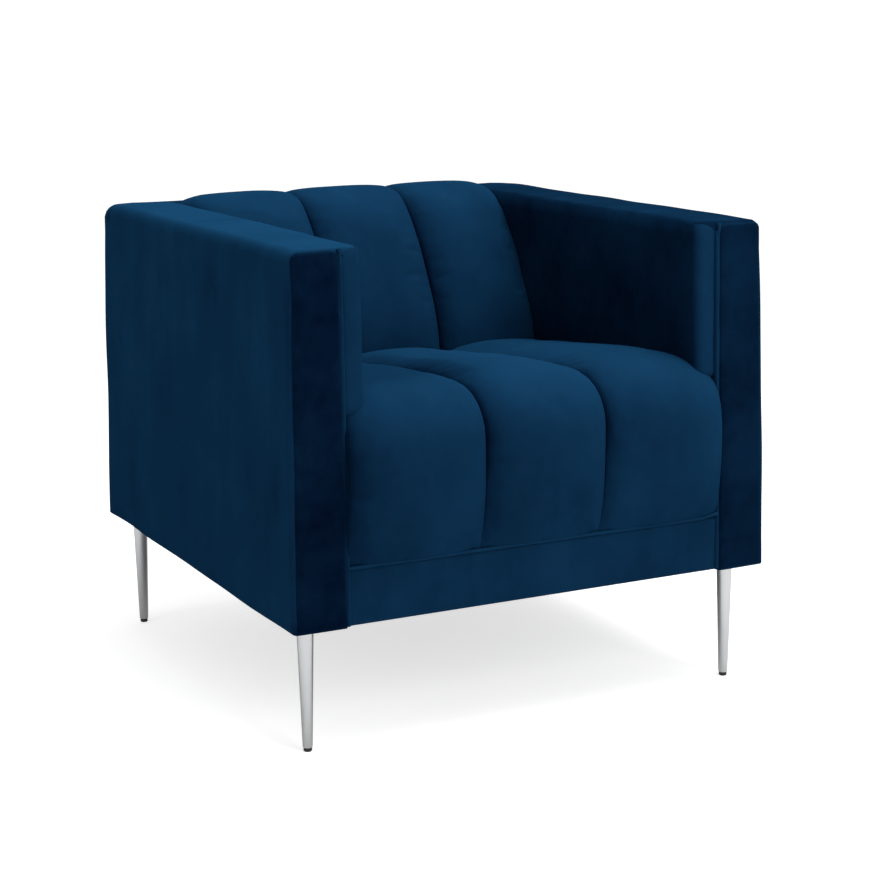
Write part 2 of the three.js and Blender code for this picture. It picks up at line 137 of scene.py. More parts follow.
def noise_of(tree, scale, stretch=(1, 1, 1), detail=3.0):
    """Noise on the piece's own coordinates; a larger stretch makes it finer along that axis."""
    coords = tree.nodes.new("ShaderNodeTexCoord")
    mapping = tree.nodes.new("ShaderNodeMapping")
    mapping.inputs["Scale"].default_value = stretch
    tree.links.new(coords.outputs["Object"], mapping.inputs["Vector"])
    made = node(tree, "ShaderNodeTexNoise", Scale=scale, Detail=detail)
    tree.links.new(mapping.outputs["Vector"], made.inputs["Vector"])
    return made.outputs["Fac"]


def bump(tree, shader, height, strength, distance):
    made = node(tree, "ShaderNodeBump", Strength=strength, Distance=distance)
    tree.links.new(height, made.inputs["Height"])
    tree.links.new(made.outputs["Normal"], shader.inputs["Normal"])


# %% [markdown]
# How light a spot of velvet looks is a sum of shares. Soft patches and stretched strokes are where
# a hand has stroked it, a finer noise is crushed pile, and the finest is the fibre ends. A face
# that points a given way is painted lighter, as painted light from that side, and darker where that
# share is negative, as painted shade. A face seen at a slant is painted lighter still, as a painted
# sheen. Beside the seams the colour is darker, as painted shade in the channels, and two spots on
# the seat are darker too. The sum then picks a blue between the deepest and the lightest. Each
# panel gets a tone of its own, as each is cut and laid its own way, and a direction of painted
# light of its own.

# %% The velvet material
# The velvet's base colour runs between these two blues. The painted sheen, the painted light and
# shade by face direction, and the painted shade by the seams all move it along this range.
DEEP = (0.0007, 0.0026, 0.0120)  # looking down into the pile
LIT = (0.0075, 0.0500, 0.1200)  # light on the sides of the fibres
PATCH_SHARE, CRUSH_SHARE, STREAK_SHARE, FIBRE_SHARE = 0.36, 0.14, 0.30, 0.10
# Painted sheen: how much lighter the base colour is painted on faces seen at a slant.
PAINTED_SHEEN_SHARE = 0.34  # for faces seen at a slant
MEAN_NOISE = 0.40  # taken off again, as the noises add up to about this much


def velvet(name, tone, painted_light_dir, pull, strokes):
    """tone: how light the panel is; the direction and pull paint light and shade: faces that point
    that way are painted lighter, by pull. Where the piece carries the attribute of painted shade
    and spots, the colour is darker by it, as painted shade beside the seams and as darker spots."""
    material, tree, shader = new_material(name)
    patches = noise_of(tree, scale=7.0)
    streaks = noise_of(tree, scale=2.2, stretch=strokes, detail=4.0)
    crush = noise_of(tree, scale=70.0, stretch=(1, 1, 0.7), detail=5.0)
    fibres = noise_of(tree, scale=1500.0, detail=1.0)
    # Painted light and shade: the base colour is lighter the more the face's normal points the
    # given direction, by pull, and darker where pull is negative.
    coords = tree.nodes.new("ShaderNodeTexCoord")
    painted_light_dot = tree.nodes.new("ShaderNodeVectorMath")
    painted_light_dot.operation = "DOT_PRODUCT"
    painted_light_dot.inputs[1].default_value = painted_light_dir
    tree.links.new(coords.outputs["Normal"], painted_light_dot.inputs[0])
    # Painted sheen: Layer Weight's Facing makes the base colour lighter where a face is seen at a
    # slant.
    painted_sheen = node(tree, "ShaderNodeLayerWeight", Blend=0.28).outputs["Facing"]
    painted_shade_and_spots = node(tree, "ShaderNodeAttribute", attribute_name="painted_shade_and_spots").outputs["Fac"]
    lightness = math_node(
        tree, "ADD", math_node(tree, "MULTIPLY", patches, PATCH_SHARE), tone - MEAN_NOISE
    )
    shares = [
        (crush, CRUSH_SHARE),
        (streaks, STREAK_SHARE),
        (painted_light_dot.outputs["Value"], pull),
        (painted_sheen, PAINTED_SHEEN_SHARE),
        (fibres, FIBRE_SHARE),
    ]
    for source, share in shares:
        part = math_node(tree, "MULTIPLY", source, share)
        lightness = math_node(tree, "ADD", lightness, part)
    # Painted shade beside the seams, and the darker spots on the seat, take the colour down here.
    lightness = math_node(tree, "SUBTRACT", lightness, painted_shade_and_spots)
    tree.links.new(mix_colours(tree, lightness, DEEP, LIT), shader.inputs["Base Color"])
    shader.inputs["Roughness"].default_value = 0.92
    shader.inputs["Specular IOR Level"].default_value = 0.0
    shader.inputs["Sheen Weight"].default_value = 0.04
    shader.inputs["Sheen Roughness"].default_value = 0.45
    shader.inputs["Sheen Tint"].default_value = (0.03, 0.30, 0.66, 1)
    bump(tree, shader, fibres, strength=0.25, distance=0.0006)
    return material


# %% [markdown]
# The names below are the panels. On most of them, faces that point up are painted lighter, as
# painted light from above. On the seat and the back that painted light leans to the chair's right,
# so they are painted as lit from one side. On the arm pads it points forward, which leaves their
# flat faces nearly black and their front rolls painted light. The right arm's cover is painted
# darker than the left's, and darker on its top, and the pads are near black: partly the nap, partly
# painted shade inside the chair.

# %% A velvet for each panel
UP = (0.0, 0.0, 1.0)
FORWARD = (0.0, -1.0, 0.0)
VELVET = {
    "seat": velvet("velvet_seat", 0.40, (0.35, 0.0, 0.94), 0.20, (6, 2, 3)),
    "back": velvet("velvet_back", 0.33, (0.55, 0.0, 0.83), 0.16, (6, 3, 2)),
    "left": velvet("velvet_arm_left", 0.26, UP, 0.40, (4, 9, 2)),
    "right": velvet("velvet_arm_right", 0.20, UP, -0.18, (4, 9, 2)),
    "outside": velvet("velvet_outside_back", 0.24, UP, 0.20, (9, 4, 2)),
    "facing": velvet("velvet_arm_front", 0.045, UP, 0.10, (3, 3, 6)),
    "pad": velvet("velvet_arm_pad", 0.05, FORWARD, 0.37, (3, 5, 3)),
    "band": velvet("velvet_band", 0.36, UP, 0.10, (9, 3, 2)),
    "piping": velvet("velvet_piping", 0.46, UP, 0.14, (9, 3, 2)),
    "seam": velvet("velvet_seam", 0.32, UP, 0.10, (3, 3, 3)),
}
print("velvets", sorted(VELVET))

# %% [markdown]
# ## Building pieces
# Each piece is built at its place in the frame, with its object at the origin, so that nothing is
# moved afterwards. This helper turns a bmesh into such an object, gives it smooth faces that point
# outwards, and hides the CAD nodes it stands for.

# %% Finishing a piece
def finish_piece(name, bm, material, stands_for):
    bm.normal_update()  # the left pieces are mirrored, and the next line trusts the old normals
    bmesh.ops.recalc_face_normals(bm, faces=bm.faces)
    mesh = bpy.data.meshes.new(name)
    bm.to_mesh(mesh)
    bm.free()
    mesh.materials.append(material)
    for face in mesh.polygons:
        face.use_smooth = True
    piece = bpy.data.objects.new(name, mesh)
    bpy.context.scene.collection.objects.link(piece)
    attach(piece, "root")
    if stands_for:
        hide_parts(*stands_for)
    print(name, len(mesh.polygons), "faces")
    return piece


# %% [markdown]
# A flat panel is a thin board with wadding and velvet over it: a box with rolled edges, a slight
# crown, and an uneven surface. Subdividing a box would round all its edges alike. So the edges
# are beveled by named radii, then the faces are cut into cells and the cells are moved.

# %% A soft box
def box_bm(lo, hi):
    bm = bmesh.new()
    middle = (Vector(lo) + Vector(hi)) / 2
    span = Vector(hi) - Vector(lo)
    bmesh.ops.create_cube(bm, size=1, matrix=Matrix.LocRotScale(middle, None, span))
    return bm


def round_edges(bm, rules, segments=5):
    """rules: pairs of a radius and a test of an edge's middle. The first test that holds counts.
    One Bevel modifier with weights does all the edges at once, so that the corners close."""
    widest = max(radius for radius, test in rules)
    weight = bm.edges.layers.float.new("bevel_weight_edge")
    for edge in bm.edges:
        middle = (edge.verts[0].co + edge.verts[1].co) / 2
        radii = [radius for radius, test in rules if test(middle)]
        edge[weight] = radii[0] / widest if radii else 0.0
    mesh = bpy.data.meshes.new("rounding")
    bm.to_mesh(mesh)
    bm.clear()
    block = bpy.data.objects.new("rounding", mesh)
    bpy.context.scene.collection.objects.link(block)
    bevel = block.modifiers.new("rounding", "BEVEL")
    bevel.limit_method = "WEIGHT"
    bevel.width = widest
    bevel.segments = segments
    bevel.use_clamp_overlap = False
    bm.from_object(block, bpy.context.evaluated_depsgraph_get())
    bpy.data.objects.remove(block)
    bpy.data.meshes.remove(mesh)


def slice_up(bm, step):
    """Cuts the faces into cells of about this size, so that a flat face can swell and ripple."""
    for axis in range(3):
        low = min(v.co[axis] for v in bm.verts)
        high = max(v.co[axis] for v in bm.verts)
        count = max(1, round((high - low) / step))
        direction = Vector((axis == 0, axis == 1, axis == 2))
        for i in range(1, count):
            point = direction * (low + (high - low) * i / count)
            geometry = bm.verts[:] + bm.edges[:] + bm.faces[:]
            bmesh.ops.bisect_plane(bm, geom=geometry, dist=1e-6, plane_co=point, plane_no=direction)


def ripple(bm, amount, scale, seed, verts=None):
    """Moves each vertex a little along its normal, as padding does under a pulled cover."""
    bm.normal_update()
    shift = Vector((seed, 1.7 * seed, -seed))
    for v in verts or bm.verts:
        v.co += v.normal * amount * noise.noise(v.co * scale + shift)


def swell(bm, lo, hi, amount, axis):
    """Crowns the two faces across this axis: nothing at their rims, most in the middle."""
    others = [a for a in range(3) if a != axis]
    middle = (lo[axis] + hi[axis]) / 2
    for v in bm.verts:
        share = 1.0
        for a in others:
            from_centre = 2 * (v.co[a] - lo[a]) / (hi[a] - lo[a]) - 1
            share *= max(0.0, 1 - abs(from_centre) ** 4)
        side = 1 if v.co[axis] > middle else -1
        v.co[axis] += side * amount * share


# %% [markdown]
# The covers of the arms and of the back lean in a little towards the top, because the wadding
# thins out where the fabric is pulled over the frame, and the top rear corners sag, because
# nothing stands behind them. The same bend goes over all the outer pieces, so that they still
# meet. The pieces of an arm are made on the right and mirrored for the left.

# %% The lean of the outer covers
LEAN_X, LEAN_Y = 0.007, 0.008  # how far the top edge stands in
LEAN_REACH = 0.06  # depth of cover that follows the front or the rear face
CORNER_SAG = 0.008
SAG_REACH = (0.05, 0.10, 0.06)  # across, along and down from a top rear corner


def lean(bm):
    for v in bm.verts:
        up = (v.co.z - BOTTOM) / (TOP - BOTTOM)
        out = min(1.0, max(0.0, (abs(v.co.x) - INNER) / (WIDE - INNER)))
        v.co.x -= math.copysign(LEAN_X * up * out, v.co.x)
        ahead = max(0.0, 1 - (v.co.y - FRONT) / LEAN_REACH)
        behind = max(0.0, 1 - (REAR - v.co.y) / LEAN_REACH)
        v.co.y += LEAN_Y * up * (min(1.0, ahead) - min(1.0, behind))
        to_corner = (WIDE - abs(v.co.x), REAR - v.co.y, TOP - v.co.z)
        away = [gap / reach for gap, reach in zip(to_corner, SAG_REACH)]
        v.co.z -= CORNER_SAG * max(0.0, 1 - math.hypot(*away)) ** 2


def mirror_to(bm, side):
    for v in bm.verts:
        v.co.x *= side


# %% [markdown]
# ## Arms
# One length of velvet covers the outside of an arm, rolls over the top edge and ends on the
# sitter's side, above the pad. A cloth draped over a box would hang; the real cover is pulled
# tight and stapled, so a drawn section is closer. It has two upright faces, the board's and a
# shelf over the pad, and is extruded from front to rear. The shelf's front is then cut back
# slantwise, where it is folded over the top of the pad.

# %% Outside and top of the arms
ROLL = 0.017  # radius of the padded top edge
CORNER_ROLL = 0.009  # and of the upright corners
REAR_ROLL = 0.018  # where the top turns down at the back
FRONT_ROLL = 0.005  # where it turns down at the front
SHELF_ROLL = 0.008  # its edge on the sitter's side
HEM_ROLL = 0.004  # its lower edge
SHELF = 0.010  # thickness of the shelf over the pad
LEDGE_BACK = 0.020  # how far the shelf's front corner is folded back
FRONT_GAP, REAR_GAP = 0.0012, 0.004  # how far inside the chair's two planes the cover ends


def puff(bm, amount):
    """Lets the padding stand out on the outer face, most half way up."""
    for v in bm.verts:
        up = (v.co.z - BOTTOM) / (TOP - BOTTOM)
        if v.co.x > WIDE - ROLL:
            v.co.x += amount * (1 - (2 * up - 0.8) ** 4) * (v.co.x - WIDE + ROLL) / ROLL


def arm_section(front):
    """The upright section of an arm's cover: the outside board's part and the shelf."""
    bm = bmesh.new()
    inside, shelf = INNER + 0.003, TOP - SHELF
    corners = [(inside, BOTTOM), (WIDE, BOTTOM), (WIDE, TOP), (inside, TOP), (inside, shelf)]
    body = [bm.verts.new((x, front, z)) for x, z in corners]
    ledge = [bm.verts.new((PAD_FACE, front, z)) for z in (TOP, shelf)]
    bm.faces.new(body)
    bm.faces.new([body[4], body[3], *ledge])
    return bm, ledge


def arm_wrap(side_name, side):
    front, rear = FRONT + FRONT_GAP, REAR - REAR_GAP
    bm, ledge = arm_section(front)
    grown = bmesh.ops.extrude_face_region(bm, geom=bm.faces[:])
    moved = [g for g in grown["geom"] if isinstance(g, bmesh.types.BMVert)]
    bmesh.ops.translate(bm, verts=moved, vec=(0, rear - front, 0))
    bmesh.ops.translate(bm, verts=ledge, vec=(0, LEDGE_BACK, 0))
    at_top = lambda m: m.z > TOP - NEAR
    at_side = lambda m: m.x > WIDE - NEAR
    rules = [
        (REAR_ROLL, lambda m: m.y > rear - NEAR and at_top(m)),
        (CORNER_ROLL, lambda m: m.y > rear - NEAR and at_side(m)),
        (CORNER_ROLL, lambda m: m.y < front + NEAR and (at_side(m) or at_top(m))),
        (ROLL, lambda m: at_side(m) and at_top(m)),
        (FRONT_ROLL, lambda m: m.y < front + 1.5 * LEDGE_BACK and at_top(m)),
        (SHELF_ROLL, lambda m: m.x < PAD_FACE + NEAR and at_top(m)),
        (HEM_ROLL, lambda m: at_side(m) and m.z < BOTTOM + NEAR),
    ]
    round_edges(bm, rules, segments=6)
    slice_up(bm, step=0.022)
    puff(bm, amount=0.0025)
    ripple(bm, amount=0.0016, scale=9.0, seed=3.0 + side)
    lean(bm)
    mirror_to(bm, side)
    return finish_piece(
        f"arm_velvet_{side_name}", bm, VELVET[side_name], [f"arm_cover_{side_name}"]
    )


for side_name, side in SIDES.items():
    arm_wrap(side_name, side)

# %% [markdown]
# The front of each arm is a separate narrow panel on its own board. Outside it the arm's own cover
# rolls round the corner; on the sitter's side its folded edge shows as a thin raised strip. At the
# top of that strip the surplus of the top cover is tucked in as a small wedge-shaped pleat. Strip
# and pleat could be painted as dark lines, but they stand proud and catch the light, so each is a
# slim soft box of its own.

# %% Arm fronts
def arm_front(side_name, side):
    lo = Vector((INNER + 0.002, FRONT - 0.0008, BOTTOM + 0.001))
    hi = Vector((WIDE - 0.0045, FRONT + 0.014, TOP - 0.004))
    bm = box_bm(lo, hi)
    rules = [
        (0.011, lambda m: m.z > hi.z - NEAR and lo.y + NEAR < m.y < hi.y - NEAR),
        (0.0045, lambda m: m.y < lo.y + NEAR),
    ]
    round_edges(bm, rules)
    slice_up(bm, step=0.012)
    swell(bm, lo, hi, amount=0.0015, axis=1)
    ripple(bm, amount=0.0012, scale=16.0, seed=9.0 + side)
    lean(bm)
    mirror_to(bm, side)
    return finish_piece(
        f"arm_front_{side_name}", bm, VELVET["facing"], [f"arm_facing_{side_name}"]
    )


def front_seam(side_name, side):
    lo = Vector((INNER - 0.0035, FRONT + 0.0005, BOTTOM + 0.001))
    hi = Vector((INNER + 0.0032, FRONT + 0.02, TOP - 0.012))
    bm = box_bm(lo, hi)
    round_edges(bm, [(0.0028, lambda m: True)], segments=4)
    slice_up(bm, step=0.02)
    ripple(bm, amount=0.0007, scale=30.0, seed=5.0 + side)
    lean(bm)
    mirror_to(bm, side)
    return finish_piece(f"arm_front_seam_{side_name}", bm, VELVET["seam"], [])


PLEAT_POINT = 0.12  # width of the pleat's lower end, as a share of its top
PLEAT_SINK = 0.004  # how far that end lies behind the top


def front_pleat(side_name, side):
    """The top cover is folded in at the inner corner; the fold shows as a small wedge."""
    lo = Vector((INNER - 0.0030, FRONT - 0.0022, TOP - 0.030))
    hi = Vector((INNER + 0.0045, FRONT + 0.012, TOP - 0.0025))
    bm = box_bm(lo, hi)
    slice_up(bm, step=0.003)
    for v in bm.verts:
        up = (v.co.z - lo.z) / (hi.z - lo.z)
        v.co.x = INNER + (v.co.x - INNER) * (PLEAT_POINT + (1 - PLEAT_POINT) * up)
        v.co.y += PLEAT_SINK * (1 - up)
    bmesh.ops.smooth_vert(bm, verts=bm.verts, factor=0.6, use_axis_x=True, use_axis_y=True)
    lean(bm)
    mirror_to(bm, side)
    # The pleat takes the arm pads' velvet, whose near-black tone is partly painted shade.
    return finish_piece(f"arm_front_pleat_{side_name}", bm, VELVET["pad"], [])


for side_name, side in SIDES.items():
    arm_front(side_name, side)
    front_seam(side_name, side)
    front_pleat(side_name, side)

# %% [markdown]
# The inside of an arm is a soft pad of its own: foam on the inner board, in a velvet cover. Its
# face swells a little, it turns round a full front edge, and its lower edge follows the seat down
# towards the back. It is a soft box too, with the lower edge pulled down after the rounding.

# %% Arm pads
PAD_FRONT_ROLL, PAD_HEM_ROLL = 0.013, 0.010
PAD_SWELL = 0.004
PAD_FALL = 0.016  # how far its lower edge falls to the back
PAD_FALL_REACH = 0.06  # height of the pad that follows that edge


def arm_pad(side_name, side):
    lo = Vector((PAD_FACE, FRONT + 0.005, pad_lo.z))
    hi = Vector((INNER + 0.004, pad_hi.y, TOP - 0.0035))
    bm = box_bm(lo, hi)
    rules = [
        (PAD_FRONT_ROLL, lambda m: m.y < lo.y + NEAR),
        (PAD_HEM_ROLL, lambda m: m.z < lo.z + NEAR),
    ]
    round_edges(bm, rules, segments=7)
    slice_up(bm, step=0.018)
    swell(bm, lo, hi, amount=PAD_SWELL, axis=0)
    for v in bm.verts:
        low = max(0.0, 1 - (v.co.z - lo.z) / PAD_FALL_REACH)
        v.co.z -= PAD_FALL * low * (v.co.y - lo.y) / (hi.y - lo.y)
    ripple(bm, amount=0.0016, scale=11.0, seed=21.0 + side)
    lean(bm)
    mirror_to(bm, side)
    return finish_piece(
        f"arm_pad_velvet_{side_name}", bm, VELVET["pad"], [f"arm_pad_{side_name}"]
    )


for side_name, side in SIDES.items():
    arm_pad(side_name, side)

# %% [markdown]
# The outside back is one flat panel that closes the case, with a thin layer of wadding. Its top
# corners roll like the arms, whose covers it meets there, so it shares their radii.

# %% Outside back
def outside_back():
    lo = Vector((0.001 - WIDE, REAR - 2 * REAR_ROLL, BOTTOM))
    hi = Vector((WIDE - 0.001, REAR, TOP - 0.001))
    bm = box_bm(lo, hi)
    rules = [
        (REAR_ROLL, lambda m: m.y > hi.y - NEAR and m.z > hi.z - NEAR),
        (ROLL, lambda m: abs(m.x) > hi.x - NEAR and m.z > hi.z - NEAR),
        (CORNER_ROLL, lambda m: m.y > hi.y - NEAR and m.z > lo.z + NEAR),
        (0.005, lambda m: m.z < lo.z + NEAR),
    ]
    round_edges(bm, rules, segments=7)
    slice_up(bm, step=0.025)
    ripple(bm, amount=0.0015, scale=8.0, seed=31.0)
    lean(bm)
    return finish_piece(
        "outside_back_velvet", bm, VELVET["outside"], ["outside_back_cover"]
    )


outside_back()

# %% [markdown]
# ## Channels
# The seat and the back are each covered in one piece of velvet, stitched through to the foam along
# two seams. The padding stands out between the seams in three full channels. Such a cover could
# be modelled by hand from a box, but then the channels would hardly be alike. A flat grid is laid
# along the side profile of the cushion instead. These helpers round a few chosen points into that
# profile, find even places on it, each with the direction that points out of the cushion, and
# read a height between two marks.

# %% Side profiles
def rounded(points, times=3):
    """Cuts the corners of a line of points until it is smooth."""
    line = np.array(points, float)
    for _ in range(times):
        near = 0.75 * line[:-1] + 0.25 * line[1:]
        far = 0.25 * line[:-1] + 0.75 * line[1:]
        inner = np.stack([near, far], axis=1).reshape(-1, 2)
        line = np.concatenate([line[:1], inner, line[-1:]])
    return line


def along_profile(points, count):
    """As many even places on the profile as count says, with their outward directions."""
    line = rounded(points)
    steps = np.linalg.norm(np.diff(line, axis=0), axis=1)
    run = np.concatenate([[0], np.cumsum(steps)])
    at = np.linspace(0, run[-1], count)
    place = np.stack([np.interp(at, run, line[:, i]) for i in (0, 1)], axis=1)
    slope = np.gradient(place, axis=0)
    slope /= np.linalg.norm(slope, axis=1)[:, None]
    return place, np.stack([-slope[:, 1], slope[:, 0]], axis=1)


def between(share, marks):
    """Linear between (share, value) marks."""
    return float(np.interp(share, [m[0] for m in marks], [m[1] for m in marks]))


# %% [markdown]
# Across the cushion, each channel is a superellipse, which drops steeply into its seams, on top of
# a gentle crown. A sine would leave it too flat at the seams. The columns of the grid lie closer
# together beside the seams, where the surface turns most. Each vertex also gets a painted shade:
# darkest just after a seam, less just before the next, and more where the channels rise higher. A
# second grid a few millimetres behind closes the cover.

# %% A channelled cover
SEAM_SHADE, SEAM_REACH = 0.34, 0.014  # painted shade after a seam, and how far it reaches
EDGE_SHADE, EDGE_REACH = 0.16, 0.005  # and before the next one
CHANNEL_SQUARE = 2.6  # power of the superellipse at the seams
BACKING = -0.004  # height of the closing grid


def channel_cover(points, edges, crown, rise, rows, columns, square):
    """edges: x of the two sides and the seams; crown and rise: marks of their heights along the
    profile; square: power of the superellipse at the two sides."""
    place, outward = along_profile(points, rows + 1)
    channels = len(edges) - 1
    bm = bmesh.new()
    painted_shade_and_spots = bm.verts.layers.float.new("painted_shade_and_spots")
    shell = bmesh.ops.create_grid(bm, x_segments=channels * columns, y_segments=rows, size=1)
    rim = [e for e in bm.edges if e.is_boundary]
    backing = bmesh.ops.create_grid(bm, x_segments=channels * columns, y_segments=rows, size=1)
    behind = set(backing["verts"])
    rim += [e for e in bm.edges if e.is_boundary and e.verts[0] in behind]
    highest = max(between(i / rows, rise) for i in range(rows + 1))
    for v in bm.verts:
        column = round((v.co.x + 1) / 2 * channels * columns)
        row = round((v.co.y + 1) / 2 * rows)
        channel = min(column // columns, channels - 1)
        across = math.sin(math.pi / 2 * (2 * (column / columns - channel) - 1))
        left, right = edges[channel], edges[channel + 1]
        x = (left + right) / 2 + across * (right - left) / 2
        at_side = abs(x) > abs(left + right) / 2 and channel in (0, channels - 1)
        full = max(0.0, 1 - abs(across) ** (square if at_side else CHANNEL_SQUARE)) ** 0.5
        crowned = (1 - abs(x / edges[-1]) ** (square + 2)) ** 0.5
        here = between(row / rows, rise)
        height = between(row / rows, crown) * crowned + here * full
        if v in behind:
            height = BACKING
        y, z = place[row] + outward[row] * height
        v.co = (x, y, z)
        # Painted shade: darkest just after a seam, a little just before the next, and more where
        # the channels rise higher.
        dark = SEAM_SHADE * math.exp(-(x - left) / SEAM_REACH)
        dark += EDGE_SHADE * math.exp(-(right - x) / EDGE_REACH)
        v[painted_shade_and_spots] = dark * here / highest
    bmesh.ops.bridge_loops(bm, edges=rim)
    return bm, shell["verts"]


# %% [markdown]
# A soft spot of the seat can be made darker. It needs no texture: it adds to the same attribute as
# the painted shade beside the seams.

# %% A darker spot
def darken_spot(bm, middle, reach, amount):
    """Makes a soft oval spot on the seat darker by this amount."""
    painted_shade_and_spots = bm.verts.layers.float["painted_shade_and_spots"]
    for v in bm.verts:
        off = math.hypot((v.co.x - middle[0]) / reach[0], (v.co.y - middle[1]) / reach[1])
        off += 0.12 * noise.noise(v.co * 14)
        v[painted_shade_and_spots] += amount / (1 + math.exp(12 * (off - 1)))


# %% [markdown]
# Padding presses the velvet out between the seams, and the stitching holds it. A noise could
# draw puckers anywhere; a short cloth simulation puts them where the stitching pulls. The seams
# and the backing are pinned, a light pressure fills the channels, and the cloth is cut a little
# large, so that it draws in small puckers. How far a point may move is capped, and the cloth is
# then part of the mesh.

# %% Filling the channels by cloth simulation
PRESSURE = 3.0
SPARE = -0.008  # the cloth is this share larger than its place
STEPS = 16
HOLD_REACH = 0.004  # the stitching's hold fades out over this distance
CAP = 0.006  # how far a point may move


def pin(piece, edges, skin_count):
    """Holds the seams, the two sides and the backing."""
    held = piece.vertex_groups.new(name="held")
    for v in piece.data.vertices:
        near = min(abs(v.co.x - x) for x in edges)
        weight = 1.0 if v.index >= skin_count else math.exp(-((near / HOLD_REACH) ** 2))
        held.add([v.index], weight, "REPLACE")


def add_cloth(piece):
    cloth = piece.modifiers.new("cloth", "CLOTH")
    cloth.settings.quality = 6
    cloth.settings.mass = 0.3
    cloth.settings.tension_stiffness = 12
    cloth.settings.compression_stiffness = 12
    cloth.settings.bending_stiffness = 0.6
    cloth.settings.vertex_group_mass = "held"
    cloth.settings.shrink_min = SPARE
    cloth.settings.use_pressure = True
    cloth.settings.uniform_pressure_force = PRESSURE
    cloth.settings.effector_weights.gravity = 0
    cloth.collision_settings.use_collision = False
    cloth.point_cache.frame_end = STEPS
    return cloth


def fill_channels(piece, edges, skin_count):
    pin(piece, edges, skin_count)
    before = [v.co.copy() for v in piece.data.vertices]
    cloth = add_cloth(piece)
    scene = bpy.context.scene
    for step in range(1, STEPS + 1):
        scene.frame_set(step)
    filled = piece.evaluated_get(bpy.context.evaluated_depsgraph_get())
    places = [v.co.copy() for v in filled.data.vertices]
    piece.modifiers.remove(cloth)
    piece.vertex_groups.clear()
    scene.frame_set(1)
    moved = []
    for v, old, new in zip(piece.data.vertices, before, places):
        way = new - old
        moved.append(way.length)
        v.co = old + way * min(1.0, CAP / max(way.length, 1e-9))
    print(piece.name, "filled; the cloth went up to", round(max(moved), 4), "before the cap")


# %% [markdown]
# The seat cover starts behind the piping, climbs the front with a full belly, rolls over the nose
# and runs back, falling slightly, until it is lost under the back. Its profile needs a point for
# each of these turns and no more, since the corners are cut until it is smooth. Two spots at the
# rear of the seat are made darker, on the chair's left as it is seen from the front.

# %% Seat
CHANNEL_HEIGHT = 0.027  # room that the crown and the channels take above the seams
SEAT_TOP = seat_hi.z - CHANNEL_HEIGHT
WELT = band_hi.z  # the piping's height


def seat_at(y, z):
    return (FRONT + y, z)


SEAT_PROFILE = [
    seat_at(0.012, WELT - 0.002),
    seat_at(0.007, WELT + 0.005),
    seat_at(0.000, WELT + 0.040),
    seat_at(-0.003, WELT + 0.083),
    seat_at(-0.003, WELT + 0.132),
    seat_at(0.000, WELT + 0.172),
    seat_at(0.019, WELT + 0.198),
    seat_at(0.060, SEAT_TOP + 0.002),
    seat_at(0.134, SEAT_TOP + 0.001),
    seat_at(0.254, SEAT_TOP - 0.010),
    seat_at(0.374, SEAT_TOP - 0.022),
    seat_at(0.474, SEAT_TOP - 0.031),
    seat_at(0.500, SEAT_TOP - 0.034),
]
SEAT_SEAM = 0.32 * INNER
SEAT_EDGES = (-INNER, -SEAT_SEAM, SEAT_SEAM, INNER)
SEAT_CROWN = [(0, 0.002), (0.10, 0.007), (0.25, 0.013), (0.4, 0.009), (1, 0.009)]
SEAT_RISE = [(0, 0.001), (0.06, 0.007), (0.2, 0.016), (0.55, 0.014), (1, 0.010)]
SEAT_SQUARE = 2.4  # its sides fall away softly

seat_bm, seat_skin = channel_cover(
    SEAT_PROFILE, SEAT_EDGES, SEAT_CROWN, SEAT_RISE, 130, 40, SEAT_SQUARE
)
ripple(seat_bm, amount=0.0012, scale=14.0, seed=41.0, verts=seat_skin)
darken_spot(seat_bm, middle=(-0.20, FRONT + 0.23), reach=(0.135, 0.185), amount=0.28)
darken_spot(seat_bm, middle=(-0.075, FRONT + 0.26), reach=(0.030, 0.19), amount=0.22)
seat_count = len(seat_skin)
seat = finish_piece(
    "seat_velvet", seat_bm, VELVET["seat"], ["seat_cover", "seat_channel_padding"]
)
fill_channels(seat, SEAT_EDGES, seat_count)

# %% [markdown]
# The back is raked and strongly crowned. Its channels roll over the top edge, where they are
# highest, and flatten towards the outside cover. It is made as the seat is, and the seams of the
# two nearly line up in the crease, but it stays full right up to the arm pads, which press on it.

# %% Back
DEPTH = REAR - CREASE
BACK_TOP = TOP - 0.008  # height of the seams at the top edge


def back_at(share, z):
    return (CREASE + share * DEPTH, z)


BACK_PROFILE = [
    back_at(0.04, SEAT_TOP - 0.070),
    back_at(0.035, SEAT_TOP - 0.030),
    back_at(0.045, SEAT_TOP - 0.005),
    back_at(0.08, SEAT_TOP + 0.030),
    back_at(0.15, SEAT_TOP + 0.070),
    back_at(0.23, SEAT_TOP + 0.110),
    back_at(0.32, SEAT_TOP + 0.148),
    back_at(0.40, SEAT_TOP + 0.176),
    back_at(0.49, BACK_TOP - 0.008),
    back_at(0.60, BACK_TOP),
    back_at(0.74, BACK_TOP - 0.001),
    back_at(0.86, BACK_TOP - 0.007),
    back_at(0.955, BACK_TOP - 0.012),
]
BACK_SEAM = SIT / 3
BACK_EDGES = (-SIT, -BACK_SEAM, BACK_SEAM, SIT)
BACK_CROWN = [(0, 0.010), (0.2, 0.012), (0.45, 0.017), (0.7, 0.019), (1, 0.009)]
BACK_RISE = [(0, 0.012), (0.2, 0.017), (0.6, 0.016), (0.72, 0.007), (1, 0.003)]
BACK_SQUARE = 9.0  # its sides stay full

back_bm, back_skin = channel_cover(
    BACK_PROFILE, BACK_EDGES, BACK_CROWN, BACK_RISE, 110, 40, BACK_SQUARE
)
ripple(back_bm, amount=0.0014, scale=13.0, seed=51.0, verts=back_skin)
back_count = len(back_skin)
back = finish_piece(
    "back_velvet", back_bm, VELVET["back"], ["back_cover", "back_channel_padding"]
)
fill_channels(back, BACK_EDGES, back_count)

